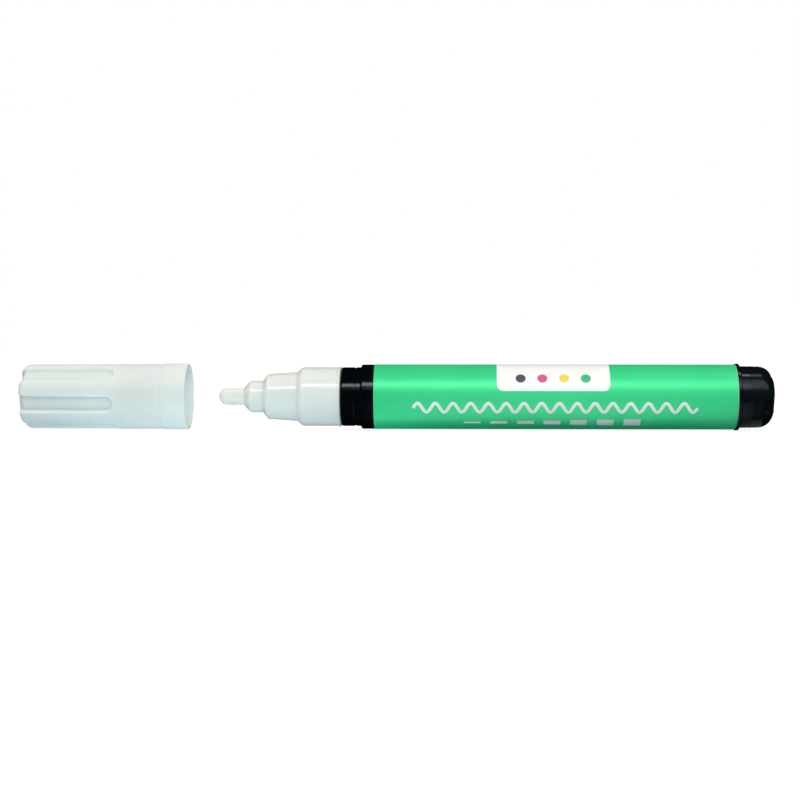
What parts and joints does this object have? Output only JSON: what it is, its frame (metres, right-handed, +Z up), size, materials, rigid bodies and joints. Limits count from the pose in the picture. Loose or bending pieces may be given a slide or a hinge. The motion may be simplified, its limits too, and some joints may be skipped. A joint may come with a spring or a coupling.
{
  "type": "liquid chalk marker",
  "caption": "Round valve-action chalk marker with bullet nib, stepped nose, sleeved barrel, notched end plug and a fluted cap pulled off in line with the nib",
  "frame": {"origin": "middle of the overall box on the surface that the pen and its cap lie on", "axes": "+X along the pen from the cap and nib to the end plug, +Z up, and the printed face towards -Y"},
  "size_m": [0.183, 0.0162, 0.0162],
  "materials": {
    "black_moulding": "moulded black polypropylene, satin gloss",
    "printed_film": "glossy printed film, green with a plain white panel",
    "natural_moulding": "moulded natural polypropylene, slightly translucent",
    "felt": "dense pressed fibre",
    "soft_seal": "soft moulded seal",
    "spring_wire": "drawn stainless wire",
    "steel_ball": "polished steel"
  },
  "bodies": {
    "marker": {"barrel": "black_moulding", "label_sleeve": "printed_film", "end_plug": "black_moulding", "nose": "natural_moulding", "valve_seat": "soft_seal", "valve_cage": "natural_moulding", "valve_spring": "spring_wire"},
    "nib": {"nib": "felt"},
    "valve_stem": {"valve_stem": "natural_moulding"},
    "mixing_ball": {"mixing_ball": "steel_ball"},
    "cap": {"cap": "natural_moulding", "cap_inner_seal": "soft_seal"}
  },
  "joints": [
    {"name": "cap_slide", "type": "slide", "parent": "marker", "child": "cap", "axis": [1, 0, 0], "range_m": [0, 0.0424]},
    {"name": "nib_press", "type": "slide", "parent": "marker", "child": "nib", "axis": [1, 0, 0], "range_m": [0, 0.0018], "stiffness_N_per_m": 1200, "springref_m": -0.0018},
    {"name": "valve_open", "type": "slide", "parent": "marker", "child": "valve_stem", "axis": [1, 0, 0], "range_m": [0, 0.0018], "deforming": ["valve_spring"]},
    {"name": "ball_roll", "type": "slide", "parent": "marker", "child": "mixing_ball", "axis": [1, 0, 0], "range_m": [-0.0333, 0.0333]}
  ],
  "couplings": [
    {"joint": "valve_open", "follows": "nib_press", "ratio": 1}
  ]
}
